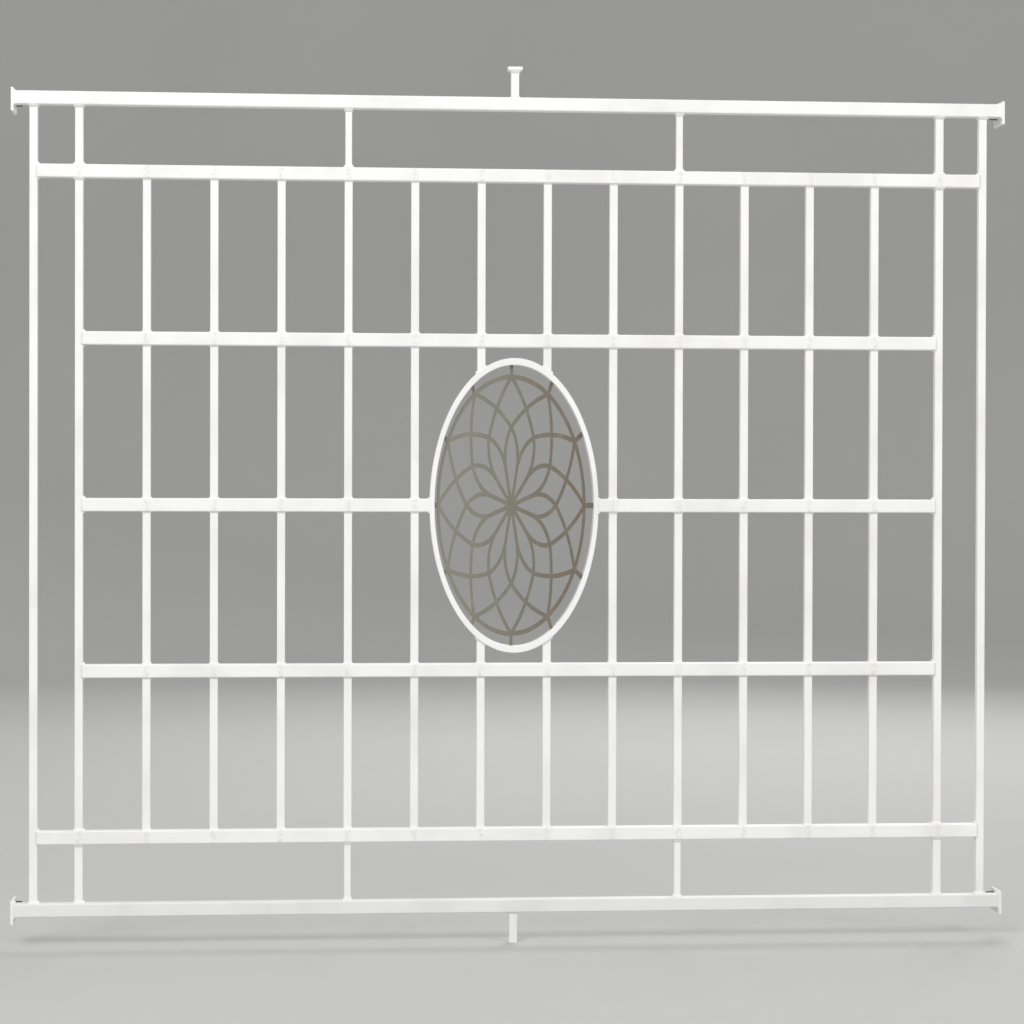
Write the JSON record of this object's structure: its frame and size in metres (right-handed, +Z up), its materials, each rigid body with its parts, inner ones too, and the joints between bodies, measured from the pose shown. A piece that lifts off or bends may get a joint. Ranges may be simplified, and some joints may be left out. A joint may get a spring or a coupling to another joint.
{
  "type": "window security grille",
  "caption": "Flat welded window grille of square rails and vertical bars, with an oval ring and rosette panel at its middle and wall plates at its corners.",
  "frame": {"origin": "centre of the overall box, in the middle of the window opening and of the wall plates' depth", "axes": "+X to the right across the window as seen from the front, +Z up, front faces -Y"},
  "size_m": [1.5, 0.05, 1.32],
  "materials": {
    "white_paint": "satin white paint over welded steel",
    "taupe_paint": "satin taupe grey paint",
    "dark_zinc": "dull dark zinc plating"
  },
  "bodies": {
    "root": {"top_rail": "white_paint", "bottom_rail": "white_paint", "upper_band_rail": "white_paint", "lower_band_rail": "white_paint", "upper_cross_rail": "white_paint", "lower_cross_rail": "white_paint", "middle_rail_left": "white_paint", "middle_rail_right": "white_paint", "outer_upright_left": "white_paint", "outer_upright_right": "white_paint", "inner_upright_left": "white_paint", "inner_upright_right": "white_paint", "vertical_bar_01": "white_paint", "vertical_bar_02": "white_paint", "vertical_bar_03": "white_paint", "vertical_bar_04": "white_paint", "vertical_bar_05": "white_paint", "vertical_bar_08": "white_paint", "vertical_bar_09": "white_paint", "vertical_bar_10": "white_paint", "vertical_bar_11": "white_paint", "vertical_bar_12": "white_paint", "vertical_bar_06_upper": "white_paint", "vertical_bar_06_lower": "white_paint", "vertical_bar_07_upper": "white_paint", "vertical_bar_07_lower": "white_paint", "upper_post_left": "white_paint", "upper_post_right": "white_paint", "lower_post_left": "white_paint", "lower_post_right": "white_paint", "oval_ring": "white_paint", "head_stud": "white_paint", "head_plate": "white_paint", "sill_stud": "white_paint", "wall_plate_top_left": "white_paint", "wall_plate_bottom_left": "white_paint", "wall_plate_top_right": "white_paint", "wall_plate_bottom_right": "white_paint", "rosette_panel": "taupe_paint", "anchor_studs": "dark_zinc", "anchor_washers": "dark_zinc", "anchor_nuts": "dark_zinc"}
  },
  "joints": []
}
